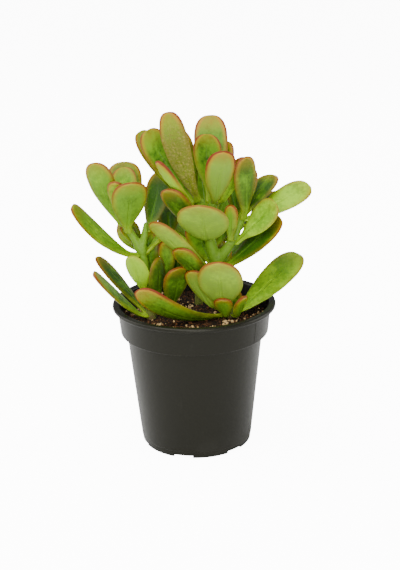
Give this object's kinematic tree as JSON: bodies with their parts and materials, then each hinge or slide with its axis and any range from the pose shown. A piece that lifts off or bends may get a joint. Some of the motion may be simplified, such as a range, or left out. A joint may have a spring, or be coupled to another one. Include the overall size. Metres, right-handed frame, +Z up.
{
  "type": "potted succulent plant",
  "caption": "Bushy jade plant with thick oval leaves on short branching stems, rooted in a dark mix in a round tapered nursery pot with a banded rim.",
  "frame": {"origin": "centre of the pot's base, on the surface it stands on", "axes": "+Z up along the pot's axis; -Y towards the side shown; +X to the right of that side"},
  "size_m": [0.1608, 0.1225, 0.2377],
  "materials": {
    "pot": "satin charcoal black, moulded",
    "mix": "rough dark peat and bark",
    "stem": "smooth green, fleshy",
    "leaf": "satin green, waxy, with a red-brown margin"
  },
  "bodies": {
    "root": {"grower_pot": "pot", "potting_mix": "mix", "left_stem": "stem", "middle_stem": "stem", "front_stem": "stem", "rear_stem": "stem", "left_rosette_leaf_1": "leaf", "left_rosette_leaf_2": "leaf", "left_rosette_leaf_3": "leaf", "left_rosette_leaf_4": "leaf", "left_rosette_leaf_5": "leaf", "left_leaf_1": "leaf", "left_leaf_2": "leaf", "left_leaf_3": "leaf", "left_leaf_4": "leaf", "left_leaf_5": "leaf", "left_leaf_6": "leaf", "left_leaf_7": "leaf", "left_leaf_8": "leaf", "middle_leaf_1": "leaf", "middle_leaf_2": "leaf", "middle_leaf_3": "leaf", "front_leaf_1": "leaf", "front_leaf_2": "leaf", "front_leaf_3": "leaf", "front_leaf_4": "leaf", "front_leaf_5": "leaf", "front_leaf_6": "leaf", "front_leaf_7": "leaf", "front_leaf_8": "leaf", "front_leaf_9": "leaf", "front_leaf_10": "leaf", "front_leaf_11": "leaf", "front_leaf_12": "leaf", "crown_leaf_1": "leaf", "crown_leaf_2": "leaf", "crown_leaf_3": "leaf", "crown_leaf_4": "leaf", "crown_leaf_5": "leaf", "crown_leaf_6": "leaf", "crown_leaf_7": "leaf", "crown_leaf_8": "leaf", "crown_leaf_9": "leaf", "crown_leaf_10": "leaf", "crown_leaf_11": "leaf", "right_leaf_1": "leaf", "right_leaf_2": "leaf", "right_leaf_3": "leaf", "right_leaf_4": "leaf", "right_leaf_5": "leaf", "right_leaf_6": "leaf", "right_leaf_7": "leaf", "right_leaf_8": "leaf", "rear_leaf_1": "leaf", "rear_leaf_2": "leaf", "rear_leaf_3": "leaf", "rear_leaf_4": "leaf", "rear_leaf_5": "leaf", "rear_leaf_6": "leaf", "rear_leaf_7": "leaf"}
  },
  "joints": []
}
